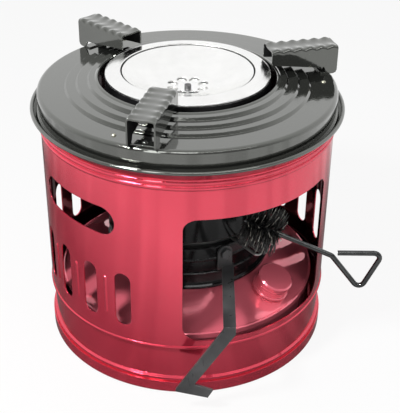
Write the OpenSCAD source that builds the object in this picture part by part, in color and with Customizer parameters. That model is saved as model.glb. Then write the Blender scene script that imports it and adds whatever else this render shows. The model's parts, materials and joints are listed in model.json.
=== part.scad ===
// Round multi-wick kerosene stove.
// Millimetres, +Z up, origin at the middle of the base. The front faces -Y.
// An azimuth is measured from the front towards +X, seen from above.

/* [Casing] */
// Outer radius of the casing wall
casing_r = 118.5; // [112:0.5:130]
// Height of the casing's flared top edge
casing_h = 201; // [195:1:225]
// Sheet thickness of the casing
casing_t = 1; // [0.8:0.1:1.5]
// Height of the crimped rim of the base pan
pan_rim_h = 10.5; // [8:0.5:12]
// Depth of the necked band above the rim
neck_depth = 1.8; // [0.8:0.1:2.5]
// Lower and upper edge of the necked band
neck_z = [15, 42]; // [10:0.5:46]
// Height of the round beads below the top edge
bead_h = 1; // [0.5:0.1:1.5]
// Outward flare of the top edge
flare_w = 2.4; // [1:0.1:4]

/* [Window and vents] */
// Azimuth of the middle of the window
window_az = 32.9; // [30:0.1:35]
// Width of the window, across its chord
window_w = 131; // [110:1:140]
// Height of the window's sill
sill_z = 51.5; // [50:0.5:54]
// Height of the window
window_h = 111.5; // [105:0.5:113]
// Corner radius at the window's top
window_top_r = 9.5; // [5:0.5:14]
// Corner radius at the sill
window_sill_r = 14; // [8:0.5:18]
// Azimuths of the middle of each vent group
vent_az = [-46.4, -126, 124.3]; // [-180:0.1:180]
// Upright slots in each vent group
vent_slots = 4; // [2:1:4]
// Angle between upright slots
vent_pitch = 15.1; // [13:0.1:16]
// Width of an upright slot
vent_w = 13.8; // [8:0.2:16]
// Lower and upper end of the upright slots
vent_z = [59.5, 108.3]; // [56:0.1:112]
// Width of the level vent above the slots, across its chord
level_vent_w = 81.8; // [60:0.2:90]
// Height of the level vent
level_vent_h = 24; // [16:0.5:26]

/* [Tank] */
// Gap between tank and casing
tank_gap = 8; // [6:0.5:12]
// Height of the tank's wall above the pan's floor
tank_wall_h = 51; // [48:0.5:53]
// Rise of the tank's conical lid
lid_rise = 15; // [12:0.5:16]
// Sheet thickness of tank, collars and sleeve
tank_t = 1; // [0.8:0.1:1.2]
// Azimuth of the filler
filler_az = 51; // [49:0.5:54]
// Outer diameter of the filler neck
neck_d = 26; // [22:0.5:27]
// Length of the neck above the cone
neck_len = 12.5; // [10:0.5:13]
// Thickness of the cap's gasket
gasket_t = 2; // [1.5:0.1:2.5]
// Wall of the filler cap
cap_t = 1.3; // [1:0.1:1.8]
// Gap between the cap's skirt and the cone
cap_skirt_gap = 2.2; // [1.5:0.1:4]

/* [Wicks and collars] */
// Number of wicks
wick_count = 10; // [6:1:14]
// Radius of the ring of wicks
wick_ring_r = 53.5; // [52:0.5:55]
// Diameter of a wick
wick_d = 6.6; // [5:0.1:7]
// Half of the wicks' travel
wick_travel = 5; // [3:0.5:5]
// Half of the lever's swing, in degrees
lever_swing = 12; // [8:0.5:12]
// Height of the base collar
base_collar_h = 14; // [12:0.5:15]
// Height of the turning collar
turn_collar_h = 22.5; // [22:0.5:25]
// Room between guide sleeve and the turning collar's outside
collar_room = 6; // [5.5:0.1:7]
// Diameter of the carrier's pins
pin_d = 3; // [2:0.1:3.2]

/* [Lever] */
// Left side of the lever's strap, from the middle of the stove
strap_x = 29.5; // [27:0.5:31]
// Width of the strap
strap_w = 9.5; // [9:0.5:12]
// Thickness of the strap
strap_t = 2; // [1.5:0.1:2.5]
// Reach of the strap past the casing
strap_reach = 23.5; // [18:0.5:30]
// Sideways run of the handle below the fold
handle_run = 35.5; // [25:0.5:40]
// Drop of the handle below the strap
handle_drop = 67.5; // [50:0.5:70]
// Length of the handle's toe
toe_len = 25; // [15:0.5:30]
// Height of the toe
toe_h = 9; // [6:0.5:12]
// Diameter of the lever's bolt
bolt_d = 5; // [4:0.1:5]

/* [Burner] */
// Step from the guide sleeve out to the drum's outside
drum_step = 5; // [4.5:0.1:6]
// Sheet thickness of drum, tubes and burner top
burner_t = 0.8; // [0.6:0.1:1]
// Height of the burner top above the plate's inner lip
burner_proud = 4.5; // [3:0.1:5]
// Width of the bright ring
ring_w = 12.4; // [11:0.1:13]
// Width of the flame slot
flame_slot_w = 1.2; // [1:0.1:2]
// Depth of the dish
dish_depth = 15.5; // [10:0.5:17]
// Holes in the dish
dish_holes = 8; // [4:1:8]
// Diameter of a hole in the dish
dish_hole_d = 8.3; // [6:0.1:8.6]
// Radius of the ring of holes
dish_hole_ring_r = 13; // [12:0.5:16]

/* [Top] */
// Sheet thickness of plate and gutter
plate_t = 1; // [0.8:0.1:1.2]
// Height of the plate's outer flat above the casing
plate_h = 18.4; // [16:0.2:22]
// Gap between drum and plate opening
plate_gap = 5; // [4:0.1:6]
// Raised bands of the plate
band_count = 3; // [2:1:3]
// Width of a raised band
band_w = 9; // [7:0.1:9.4]
// Rise of each band
band_rise = 2.1; // [1.5:0.1:2.4]
// Overhang of the gutter's lip past the casing
lip_overhang = 5.7; // [5:0.1:8]
// Radius of the gutter's rolled lip
lip_r = 1.6; // [1.2:0.1:2.2]

/* [Pot supports] */
// Azimuth of the first pot support
support_az = -14.3; // [-20:0.1:-10]
// Width of a pot support
support_w = 21.5; // [18:0.5:26]
// Height of a pot support above the outer flat
support_h = 24.4; // [20:0.2:30]
// Sheet thickness of a pot support
support_t = 1.2; // [1:0.1:1.6]
// Overhang of a pot support past the plate's edge
support_overhang = 3.2; // [2:0.1:4]
// Width of the outer foot
foot_w = 10; // [8:0.5:11]
// Ridges along the top of a support
ridge_count = 6; // [4:1:8]
// Height of a ridge above its valley
ridge_h = 1.6; // [0.8:0.1:2]
// Depth of the valley along the middle
valley_depth = 2.2; // [1:0.1:2.6]
// Radius of the folds along the top
fold_r = 2.5; // [1.8:0.1:3]

/* [Lighting brush] */
// Diameter of the brush's wire
brush_wire_d = 4.2; // [3:0.1:4.6]
// Radius of the bristle head
bristle_r = 20.4; // [18:0.1:20.5]
// Length of the bristle head
bristle_len = 27; // [20:0.5:28]
// Strands in the bristle head
strand_count = 340; // [300:5:400]
// Width of a strand
strand_w = 0.7; // [0.5:0.05:0.8]
// Reach of the brush's rest past the guide sleeve
rest_reach = 36; // [33:0.5:37]
// Diameter of the rest's wire
rest_d = 2.2; // [1.8:0.1:2.4]

/* [Hidden] */
$fn = 72;
// Gap between pieces of one body that nest in each other
nest_gap = 0.1;
// Gap between pieces that move on each other
run_gap = 0.4;
// Gap under a piece that stands on another body
seat_gap = 0.1;
// Overshoot of a cut
over = 2;

// Levels
tank_base_z = casing_t;
lid_rim_z = tank_base_z + tank_wall_h;
lid_flat_z = lid_rim_z + lid_rise;
turn_collar_z = lid_flat_z + base_collar_h + seat_gap;
turn_collar_top_z = turn_collar_z + turn_collar_h;
rest_z = turn_collar_top_z + run_gap + rest_d;
sleeve_top_z = rest_z + rest_d;
carrier_t = pin_d + 2;
// Depth to which a pin sits in the carrier's rim
pin_root = 3.1;
// Wall of the turning collar
collar_wall = 1.5;
carrier_z = turn_collar_z + turn_collar_h / 2 - 1;
lower_tube_top_z = carrier_z - carrier_t / 2 - wick_travel - 2;
wick_plate_z = carrier_z + carrier_t / 2 + wick_travel + 2;
flame_tube_z = wick_plate_z + tank_t + seat_gap;
upper_tube_top_z = flame_tube_z + 12;
drum_z = sleeve_top_z + seat_gap;
gutter_z = casing_h;
plate_z = casing_h + plate_h;
plate_lip_z = plate_z + band_count * band_rise + 1;
burner_top_z = plate_lip_z + burner_proud;
drum_top_z = burner_top_z - 3.4;

// Radii, from the wicks outwards
tube_t = 0.6;
tube_d = wick_d + 2 * (run_gap / 2 + tube_t) + 0.2;
flame_gap = 0.5;
inner_flame_r = wick_ring_r - tube_d / 2 - flame_gap;
outer_flame_r = wick_ring_r + tube_d / 2 + flame_gap + burner_t;
sleeve_in_r = outer_flame_r + 2 * run_gap;
sleeve_r = sleeve_in_r + tank_t;
turn_collar_r = sleeve_r + collar_room;
base_collar_r = turn_collar_r + 1.6;
base_flange_r = base_collar_r + 2.1;
drum_r = sleeve_r + drum_step;
slot_in_r = drum_r - ring_w;
dish_r = slot_in_r - flame_slot_w;
plate_hole_r = drum_r + plate_gap;
plate_r = casing_r + 1.1;
tank_r = casing_r - casing_t - tank_gap;
lid_flat_r = base_flange_r + 1;
lip_ring_r = casing_r + lip_overhang;
gutter_in_r = plate_r - 12.5;

// Filler on the cone of the lid
lid_rim_r = tank_r - 2;
lid_slope = atan(lid_rise / (lid_rim_r - lid_flat_r));
filler_r = (lid_rim_r + lid_flat_r) / 2;
filler_z = lid_rim_z + (lid_rim_r - filler_r) * tan(lid_slope);
cap_r = neck_d / 2 + run_gap + cap_t;
cap_top = neck_len + seat_gap + gasket_t + nest_gap;
cap_skirt_h = cap_top - cap_skirt_gap;

// Lever
strap_z = turn_collar_z + 1.6;
strap_y = casing_r + strap_reach;
lever_az = asin((strap_x + strap_w / 2) / turn_collar_r) - 3.5;
bolt_z = turn_collar_top_z - 6;
bolt_head_w = 1.6 * bolt_d;
tab_w = 13;
slot_az = [-35, 85, 205];
slot_slope = atan(wick_travel / (lever_swing * PI / 180 * turn_collar_r));
slot_w = pin_d + 1.4;
slot_len = 2 * turn_collar_r * sin(lever_swing) / cos(slot_slope);

// Pot supports
support_in_r = drum_r + 0.6;
support_out_r = plate_r + support_overhang;
support_top_z = plate_z + support_h - ridge_h;
valley_half_w = support_w / 2 - 2;
valley_r = (pow(valley_half_w, 2) + pow(valley_depth, 2)) / (2 * valley_depth);
valley_z = plate_z + support_h - valley_depth + valley_r;
support_count = 3;
support_step = 360 / support_count;
rivet_r = 1.6;
plate_rivet_r = plate_r - 11;
plate_edge_r = 3.2;
tab_out_r = plate_r - plate_edge_r;
tab_len = 7.2;
support_rivet_r = tab_out_r - tab_len / 2;
plate_rivet_az = support_az - 13.7;

// Lighting brush: a plane through the head's middle, with the wire's corners in it
rest_az = 37.5;
bristle_sink = 0.6;
brush_mid = [60.5, -69.2, rest_z + rest_d / 2 + bristle_r - bristle_sink];
brush_turn = -5.7;
rod_slope = -21.7;
head_half = bristle_len / 2 + 2.5;
rod_len = 55.7;
brush_corners = [
    [-head_half * cos(rod_slope), -head_half * sin(rod_slope)],
    [rod_len, rod_len * tan(rod_slope)],
    [80.2, -53.1],
    [95.5, -16.7],
    [60, -19.2]
];
brush_bend_r = 4.5;
golden_turn = 137.508;
tip_spread = 5;

// Reverses a list of points.
function backwards(points) = [for (i = [len(points) - 1:-1:0]) points[i]];

// Closes a sheet's outer path with the same path moved in by the sheet's thickness.
function sheet(path, dr, dz) = concat(path, backwards([for (p = path) [max(0, p[0] + dr), p[1] + dz]]));

// Half-round bead on a wall of radius r.
function bead(r, z, out, half) = [for (a = [-90:30:90]) [r + out * cos(a), z + half * sin(a)]];

// Turns local +X to an azimuth, and moves out and up.
module face_out(az, r = 0, z = 0) {
    rotate([0, 0, az - 90]) translate([r, 0, z]) children();
}

// Extrudes a shape of tangent and height outwards from radius r.
module radial_shape(az, r, depth) {
    face_out(az, r) rotate([90, 0, 90]) linear_extrude(depth) children();
}

// Rod along the radius.
module radial_rod(az, r_from, r_to, z, d) {
    face_out(az, r_from, z) rotate([0, 90, 0]) cylinder(d = d, h = r_to - r_from);
}

// Places children square to the lid's cone, at the filler.
module on_cone() {
    face_out(filler_az, filler_r, filler_z) rotate([0, lid_slope, 0]) children();
}

// Slot with round ends, upright if tall, level if wide.
module round_slot(w, h) {
    d = min(w, h);
    square([max(w - d, h > w ? w : 0), max(h - d, w > h ? h : 0)], center = true);
    for (s = [-1, 1]) translate([s * (w - d) / 2, s * (h - d) / 2]) circle(d = d);
}

// Ring with a round section cut square: a tube on the axis.
module tube(r_out, r_in, z, h) {
    translate([0, 0, z]) difference() {
        cylinder(r = r_out, h = h);
        translate([0, 0, -over]) cylinder(r = r_in, h = h + 2 * over);
    }
}

// Places children on the ring of wicks.
module on_wicks() {
    for (i = [0:wick_count - 1]) face_out((i + 0.5) * 360 / wick_count, wick_ring_r) children();
}

// Hexagon head or nut blank along +Z.
module hexagon(width, h) {
    cylinder(d = width / cos(30), h = h, $fn = 6);
}

function unit(v) = v / norm(v);

// Corners in a plane, each one rounded by a bend.
function bend_path(points, bend) = let (last = len(points) - 1, steps = 6) [
    for (i = [0:last]) each i == 0 || i == last ? [points[i]] : let (
        a = unit(points[i] - points[i - 1]),
        b = unit(points[i + 1] - points[i]),
        turn = atan2(a[0] * b[1] - a[1] * b[0], a * b),
        left = sign(turn) * [-a[1], a[0]],
        middle = points[i] - a * bend * tan(abs(turn) / 2) + bend * left
    ) [for (k = [0:steps]) let (angle = abs(turn) * k / steps)
        middle + bend * (a * sin(angle) - left * cos(angle))]
];

// Direction of a path at point i.
function path_run(path, i) = let (last = len(path) - 1) unit(
    (i == 0 ? [0, 0] : unit(path[i] - path[i - 1])) + (i == last ? [0, 0] : unit(path[i + 1] - path[i]))
);

// Wire along corners in the XZ plane, with round bends.
module bent_wire(points, d, bend) {
    sides = 16;
    path = bend_path(points, bend);
    last = len(path) - 1;
    rings = [for (i = [0:last], k = [0:sides - 1]) let (
        run = path_run(path, i),
        across = d / 2 * cos(360 * k / sides)
    ) [path[i][0] - across * run[1], d / 2 * sin(360 * k / sides), path[i][1] + across * run[0]]];
    polyhedron(rings, concat(
        [[for (k = [sides - 1:-1:0]) k], [for (k = [0:sides - 1]) last * sides + k]],
        [for (i = [0:last - 1], k = [0:sides - 1]) let (
            a = i * sides,
            next = (k + 1) % sides
        ) each [[a + k, a + next, a + sides + next], [a + k, a + sides + next, a + sides + k]]]
    ));
}

// Fixed shell and tank

module base_pan() {
    rim_in_r = casing_r + nest_gap;
    rim_r = rim_in_r + casing_t;
    color("crimson") rotate_extrude() polygon([
        [0, 0], [rim_r - 0.8, 0], [rim_r, 0.8], [rim_r, pan_rim_h], [rim_in_r, pan_rim_h],
        [rim_in_r, casing_t], [0, casing_t]
    ]);
}

neck_ramp = 1.2;
casing_path = concat(
    [
        [casing_r, casing_t], [casing_r, neck_z[0] - neck_ramp], [casing_r - neck_depth, neck_z[0]],
        [casing_r - neck_depth, neck_z[1]], [casing_r, neck_z[1] + neck_ramp]
    ],
    bead(casing_r, neck_z[1] + 2 * neck_ramp + 1, 0.8 * bead_h, 1.4),
    bead(casing_r, casing_h - 12, bead_h, 1.7),
    bead(casing_r, casing_h - 7.8, bead_h, 1.7),
    [[casing_r, casing_h - 5], [casing_r + flare_w, casing_h]]
);

// Window outline, seen from outside, with its own radius at top and sill.
module window_shape() {
    translate([-window_w / 2 + window_sill_r, sill_z])
        square([window_w - 2 * window_sill_r, window_h]);
    translate([-window_w / 2, sill_z + window_sill_r])
        square([window_w, window_h - window_sill_r - window_top_r]);
    translate([-window_w / 2 + window_top_r, sill_z + window_sill_r])
        square([window_w - 2 * window_top_r, window_h - window_sill_r]);
    for (s = [-1, 1]) {
        translate([s * (window_w / 2 - window_sill_r), sill_z + window_sill_r]) circle(r = window_sill_r);
        translate([s * (window_w / 2 - window_top_r), sill_z + window_h - window_top_r])
            circle(r = window_top_r);
    }
}

// Azimuth of slot i, or of rib i if half a pitch is added.
function slot_place(group, i) = vent_az[group] + (i - (vent_slots - 1) / 2) * vent_pitch;

module casing() {
    cut_r = casing_r - 12;
    cut_depth = 24;
    vent_mid_z = (vent_z[0] + vent_z[1]) / 2;
    rib_half = (vent_z[1] - vent_z[0]) / 2 - 8.5;
    seam_w = 8;
    seam_z = [neck_z[1] + 4, casing_h - 16];
    color("crimson") difference() {
        union() {
            rotate_extrude() polygon(sheet(casing_path, -casing_t, 0));
            for (g = [0:len(vent_az) - 1], i = [0:vent_slots - 2])
                face_out(slot_place(g, i + 0.5), casing_r - 0.9, vent_mid_z - rib_half) {
                    cylinder(r = 1.8, h = 2 * rib_half);
                    sphere(r = 1.8);
                    translate([0, 0, 2 * rib_half]) sphere(r = 1.8);
                }
            face_out(180, casing_r - casing_t / 2, seam_z[0])
                translate([0, -seam_w / 2, 0]) cube([casing_t + 0.3, seam_w, seam_z[1] - seam_z[0]]);
        }
        radial_shape(window_az, casing_r * 0.55, casing_r * 0.55) window_shape();
        for (g = [0:len(vent_az) - 1]) {
            for (i = [0:vent_slots - 1])
                radial_shape(slot_place(g, i), cut_r, cut_depth)
                    translate([0, vent_mid_z]) round_slot(vent_w, vent_z[1] - vent_z[0]);
            radial_shape(vent_az[g], casing_r * 0.8, casing_r * 0.3)
                translate([0, sill_z + window_h - level_vent_h / 2]) round_slot(level_vent_w, level_vent_h);
        }
        tube(casing_r - casing_t, casing_r - casing_t - 4, vent_z[0], vent_z[1] - vent_z[0]);
    }
}

module tank_shell() {
    color("firebrick") rotate_extrude() polygon([
        [0, tank_base_z], [tank_r - 4, tank_base_z], [tank_r - 1, tank_base_z + 3],
        [tank_r - 1, lid_rim_z - 3], [tank_r - 1 - tank_t, lid_rim_z - 3],
        [tank_r - 1 - tank_t, tank_base_z + 3 + tank_t / 2], [tank_r - 4 - tank_t / 2, tank_base_z + tank_t],
        [0, tank_base_z + tank_t]
    ]);
}

module tank_lid() {
    color("firebrick") difference() {
        rotate_extrude() polygon([
            [0, lid_flat_z - tank_t], [lid_flat_r - 0.3, lid_flat_z - tank_t],
            [lid_rim_r, lid_rim_z - tank_t], [tank_r - 1 + nest_gap, lid_rim_z - tank_t],
            [tank_r - 1 + nest_gap, lid_rim_z - 5], [tank_r, lid_rim_z - 5], [tank_r, lid_rim_z - 0.8],
            [tank_r - 0.8, lid_rim_z], [lid_rim_r, lid_rim_z], [lid_flat_r, lid_flat_z], [0, lid_flat_z]
        ]);
        on_wicks() translate([0, 0, lid_flat_z - tank_t - over])
            cylinder(d = tube_d + 2 * nest_gap, h = tank_t + 2 * over);
        on_cone() translate([0, 0, -3 * over]) cylinder(d = neck_d + 2 * nest_gap, h = 6 * over);
    }
}

module filler_neck() {
    flange_t = 0.8;
    flange_w = 2.5;
    dip = 3;
    color("firebrick") on_cone() difference() {
        union() {
            translate([0, 0, -dip]) cylinder(d = neck_d, h = dip + neck_len);
            translate([0, 0, 0.02]) cylinder(d = neck_d + 2 * flange_w, h = flange_t);
        }
        translate([0, 0, -dip - over]) cylinder(d = neck_d - 2.4, h = neck_len + dip + 2 * over);
    }
}

module lower_wick_tubes() {
    dip = 0.4 * tank_wall_h;
    color("silver") on_wicks() tube(tube_d / 2, tube_d / 2 - tube_t, lid_flat_z - dip,
                                    lower_tube_top_z - lid_flat_z + dip);
}

module base_collar() {
    color("#202020") rotate_extrude() polygon([
        [base_collar_r - tank_t, lid_flat_z], [base_flange_r, lid_flat_z], [base_flange_r, lid_flat_z + 2],
        [base_collar_r + 0.8, lid_flat_z + 3.2], [base_collar_r, lid_flat_z + 5],
        [base_collar_r, turn_collar_z - seat_gap - 0.6], [base_collar_r - 0.6, turn_collar_z - seat_gap],
        [sleeve_r + nest_gap, turn_collar_z - seat_gap],
        [sleeve_r + nest_gap, turn_collar_z - seat_gap - tank_t],
        [base_collar_r - tank_t, turn_collar_z - seat_gap - tank_t]
    ]);
}

module guide_sleeve() {
    color("dimgray") difference() {
        tube(sleeve_r, sleeve_in_r, lid_flat_z, sleeve_top_z - lid_flat_z);
        for (az = slot_az) radial_shape(az, sleeve_in_r - over, tank_t + 2 * over)
            translate([0, carrier_z]) round_slot(pin_d + 1, 2 * wick_travel + pin_d + 2);
    }
}

module wick_plate() {
    color("dimgray") difference() {
        tube(sleeve_in_r - nest_gap, inner_flame_r - burner_t - over, wick_plate_z, tank_t);
        on_wicks() translate([0, 0, wick_plate_z - over])
            cylinder(d = tube_d + 2 * nest_gap, h = tank_t + 2 * over);
    }
}

module upper_wick_tubes() {
    color("silver") on_wicks() tube(tube_d / 2, tube_d / 2 - tube_t, wick_plate_z - 1,
                                    upper_tube_top_z - wick_plate_z + 1);
}

module brush_rest() {
    half = 2.75;
    leg = rest_reach - half - rest_d / 2;
    color("gray") face_out(rest_az, sleeve_r + nest_gap / 2, rest_z) {
        for (s = [-1, 1]) translate([0, s * half, 0]) rotate([0, 90, 0])
            cylinder(d = rest_d, h = leg, $fn = 24);
        translate([leg, 0, 0]) rotate([0, 0, -90])
            rotate_extrude(angle = 180) translate([half, 0]) circle(d = rest_d, $fn = 24);
    }
}

module gutter_ring() {
    color("#151515") rotate_extrude() {
        polygon([
            [gutter_in_r, gutter_z], [casing_r + flare_w, gutter_z],
            [lip_ring_r + plate_t / 2, gutter_z + 2.6], [lip_ring_r + plate_t / 2, gutter_z + 3.4],
            [lip_ring_r - plate_t / 2, gutter_z + 3.4], [lip_ring_r - plate_t / 2, gutter_z + 3],
            [casing_r + flare_w - 0.6, gutter_z + plate_t], [gutter_in_r, gutter_z + plate_t]
        ]);
        translate([lip_ring_r, gutter_z + 3.4]) circle(r = lip_r);
    }
}

// Lever and turning collar

module turning_collar() {
    top = turn_collar_top_z;
    bead_z = turn_collar_z + turn_collar_h / 2;
    color("#202020") difference() {
        rotate_extrude() polygon(concat(
            [[sleeve_r + run_gap, turn_collar_z], [turn_collar_r, turn_collar_z]],
            bead(turn_collar_r, bead_z, 0.7, 1.2),
            [
                [turn_collar_r, top - 0.7], [turn_collar_r - 0.7, top], [sleeve_r + run_gap, top],
                [sleeve_r + run_gap, top - tank_t], [turn_collar_r - collar_wall, top - tank_t],
                [turn_collar_r - collar_wall, turn_collar_z + tank_t],
                [sleeve_r + run_gap, turn_collar_z + tank_t]
            ]
        ));
        for (az = slot_az) radial_shape(az, turn_collar_r - collar_room + 1, collar_room + over)
            translate([0, carrier_z]) rotate(-slot_slope) round_slot(slot_len + slot_w, slot_w);
        radial_rod(lever_az, turn_collar_r - 4, turn_collar_r + 4, bolt_z, bolt_d + 2 * nest_gap);
    }
}

module wick_lever() {
    seat_r = turn_collar_r + 0.8;
    fold_y = -strap_y;
    low_z = strap_z - handle_drop;
    toe_x = strap_x - handle_run;
    strap_root_y = turn_collar_r - 27;
    fold_drop = 5;
    toe_slant = 4;
    color("#2b2b2b") difference() {
        union() {
            radial_shape(lever_az, seat_r, strap_t) {
                translate([-tab_w / 2, strap_z]) square([tab_w, bolt_z - strap_z]);
                translate([0, bolt_z]) circle(d = tab_w);
            }
            translate([strap_x, fold_y, strap_z]) cube([strap_w, strap_y - strap_root_y, strap_t]);
            translate([0, fold_y + strap_t, 0]) rotate([90, 0, 0]) linear_extrude(strap_t) polygon([
                [strap_x, strap_z + strap_t], [strap_x + strap_w, strap_z + strap_t],
                [strap_x + strap_w, strap_z - fold_drop], [toe_x + 1.5 * strap_w, low_z + toe_h + 4],
                [toe_x + toe_len + toe_slant, low_z + toe_h - 1.5], [toe_x + toe_len, low_z],
                [toe_x, low_z + toe_h - 3], [toe_x, low_z + toe_h - 1], [strap_x, strap_z - 1]
            ]);
        }
        translate([0, 0, strap_z - over]) cylinder(r = seat_r, h = strap_t + 2 * over);
        rotate([0, 0, lever_az - 90]) translate([-seat_r, -seat_r, strap_z - over])
            cube([2 * seat_r, 2 * seat_r, strap_t + 2 * over]);
        radial_rod(lever_az, seat_r - over, seat_r + strap_t + over, bolt_z, bolt_d + 2 * nest_gap);
    }
}

module lever_bolt() {
    seat = turn_collar_r + 0.8 + strap_t;
    color("silver") face_out(lever_az, 0, bolt_z) {
        translate([turn_collar_r - collar_room + 1.2, 0, 0]) rotate([0, 90, 0])
            cylinder(d = bolt_d, h = seat - turn_collar_r + collar_room - 1.2);
        translate([seat, 0, 0]) rotate([0, 90, 0]) hexagon(bolt_head_w, 3);
    }
}

module lever_nut() {
    nut_t = collar_room - 3;
    seat_r = turn_collar_r - collar_wall - run_gap;
    color("silver") face_out(lever_az, seat_r - nut_t, bolt_z)
        rotate([0, 90, 0]) difference() {
            hexagon(bolt_head_w, nut_t);
            translate([0, 0, -over]) cylinder(d = bolt_d + 2 * nest_gap, h = nut_t + 2 * over);
        }
}

// Wick carriage

module wick_carrier() {
    color("silver") difference() {
        tube(sleeve_in_r - run_gap, inner_flame_r - burner_t - over, carrier_z - carrier_t / 2, carrier_t);
        on_wicks() translate([0, 0, carrier_z - carrier_t])
            cylinder(d = wick_d + nest_gap, h = 2 * carrier_t);
        for (az = slot_az) radial_rod(
            az, sleeve_in_r - pin_root - nest_gap, sleeve_in_r + over, carrier_z, pin_d + nest_gap
        );
    }
}

module carrier_pins() {
    color("silver") for (az = slot_az)
        radial_rod(az, sleeve_in_r - pin_root, turn_collar_r - run_gap, carrier_z, pin_d);
}

module wicks() {
    color("ivory") on_wicks() translate([0, 0, tank_base_z + tank_t + wick_travel + 3])
        cylinder(d = wick_d, h = upper_tube_top_z - 1.5 - tank_base_z - tank_t - wick_travel - 3);
}

// Burner

flame_hole_d = 4;
flame_hole_rows = 4;
flame_holes = 16;
cross_pin_az = [95, 215, 335];
cross_pin_d = 3;
cross_pin_z = (drum_z + drum_top_z) / 2;

// Perforated tube with holes for the cross pins.
module flame_tube(r_out, top) {
    row_step = (top - drum_z) / (flame_hole_rows + 1);
    difference() {
        tube(r_out, r_out - burner_t, flame_tube_z, top - flame_tube_z);
        for (row = [1:flame_hole_rows], i = [0:flame_holes - 1])
            radial_rod((i + row / 2) * 360 / flame_holes, r_out - burner_t - over, r_out + over,
                       drum_z + row * row_step - 6, flame_hole_d);
        pin_holes();
    }
}

module pin_holes() {
    for (az = cross_pin_az)
        radial_rod(az, inner_flame_r - 6, drum_r + 6, cross_pin_z, cross_pin_d + nest_gap);
}

module outer_drum() {
    color("#1c1c1c") difference() {
        rotate_extrude() polygon([
            [outer_flame_r + nest_gap, drum_z], [drum_r - 0.6, drum_z], [drum_r, drum_z + 0.6],
            [drum_r, drum_top_z], [drum_r - burner_t, drum_top_z], [drum_r - burner_t, drum_z + burner_t],
            [outer_flame_r + nest_gap, drum_z + burner_t]
        ]);
        pin_holes();
    }
}

module outer_flame_tube() {
    color("gray") flame_tube(outer_flame_r, drum_top_z - 1);
}

module inner_flame_tube() {
    color("gray") flame_tube(inner_flame_r, dish_height(inner_flame_r - burner_t) - burner_t - nest_gap);
}

module cross_pins() {
    color("silver") for (az = cross_pin_az)
        radial_rod(az, inner_flame_r - 2, drum_r + 0.4, cross_pin_z, cross_pin_d);
}

module chrome_ring() {
    rise = burner_top_z - drum_top_z;
    crown = [for (a = [0:15:90]) [
        drum_r - 0.1 - (ring_w - 1.5) * (1 - cos(a)), drum_top_z + 1 + (rise - 1) * sin(a)
    ]];
    color("white") rotate_extrude() polygon(concat(
        [[drum_r - 0.1 - burner_t, drum_top_z], [drum_r - 0.1, drum_top_z]], crown,
        [
            [slot_in_r + 0.5, burner_top_z], [slot_in_r, burner_top_z - 0.5], [slot_in_r, drum_top_z - 2],
            [slot_in_r + burner_t, drum_top_z - 2], [slot_in_r + burner_t, burner_top_z - burner_t]
        ],
        backwards([for (p = crown) [p[0] - burner_t, p[1] - burner_t]])
    ));
}

// Height of the dish's upper face at radius r.
function dish_height(r) = burner_top_z - 0.6 - dish_depth * (1 - pow(r / dish_r, 2));

module spreader_dish() {
    rings = [for (i = [0:8]) i * (dish_r - 0.5) / 8];
    upper = [for (r = rings) [r, dish_height(r)]];
    lower = [for (r = rings) [r, dish_height(r) - burner_t]];
    color("white") difference() {
        rotate_extrude() polygon(concat(
            upper,
            [[dish_r, dish_height(dish_r) - 0.4], [dish_r, dish_height(dish_r) - 5],
             [dish_r - burner_t, dish_height(dish_r) - 5]],
            backwards(lower)
        ));
        for (i = [0:dish_holes - 1]) face_out((i + 0.5) * 360 / dish_holes, dish_hole_ring_r,
                                              dish_height(dish_r) - 1.3 * dish_depth)
            cylinder(d = dish_hole_d, h = 1.5 * dish_depth);
        translate([0, 0, dish_height(0) - over]) cylinder(d = screw_d + 2 * nest_gap, h = 2 * over);
    }
}

screw_d = 3;
deflector_drop = 0.5;
deflector_z = dish_height(0) - burner_t - deflector_drop;

// Shallow dish close under the holes of the spreader.
module deflector_plate() {
    deflector_r = dish_hole_ring_r + dish_hole_d / 2 + 5;
    drop = burner_t + deflector_drop;
    rings = [for (i = [0:4]) i * deflector_r / 4];
    upper = [for (r = rings) [r, dish_height(r) - drop]];
    lower = [for (r = rings) [r, dish_height(r) - drop - burner_t]];
    color("silver") difference() {
        union() {
            rotate_extrude() polygon(concat(upper, backwards(lower)));
            translate([0, 0, deflector_z - burner_t])
                cylinder(d = 2.6 * screw_d, h = deflector_drop + burner_t - nest_gap / 2);
        }
        translate([0, 0, deflector_z - over])
            cylinder(d = screw_d + 2 * nest_gap, h = deflector_drop + 2 * over);
    }
}

module dish_screw() {
    head_h = 2.2;
    head_d = 1.8 * screw_d;
    shank = deflector_drop + 2 * burner_t + 6;
    color("dimgray") translate([0, 0, dish_height(0) + 0.15]) {
        translate([0, 0, -shank]) cylinder(d = screw_d, h = shank);
        difference() {
            cylinder(d = head_d, h = head_h);
            translate([-head_d, -0.4, head_h - 1]) cube([2 * head_d, 0.8, over]);
        }
    }
}

module dish_nut() {
    nut_t = 3.2;
    color("silver") translate([0, 0, deflector_z - burner_t - nut_t]) difference() {
        hexagon(1.75 * screw_d, nut_t);
        translate([0, 0, -over]) cylinder(d = screw_d + 2 * nest_gap, h = nut_t + 2 * over);
    }
}

// Top

// Radius of the outer edge of band i, counted from the opening.
function band_r(i) = plate_hole_r + i * band_w;

plate_path = concat(
    [[plate_r - 0.4, gutter_z + plate_t + seat_gap], [plate_r, plate_z - plate_edge_r]],
    [for (a = [15:15:90]) [plate_r - plate_edge_r * (1 - cos(a)), plate_z - plate_edge_r * (1 - sin(a))]],
    [for (i = [band_count:-1:1], k = [0, 1]) [
        band_r(i) - k * 1.4, plate_z + (band_count - i + k) * band_rise
    ]],
    [
        [plate_hole_r + 3, plate_z + band_count * band_rise],
        [plate_hole_r + 1.8, plate_z + band_count * band_rise + 0.8],
        [plate_hole_r + 0.8, plate_lip_z]
    ]
);

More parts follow.
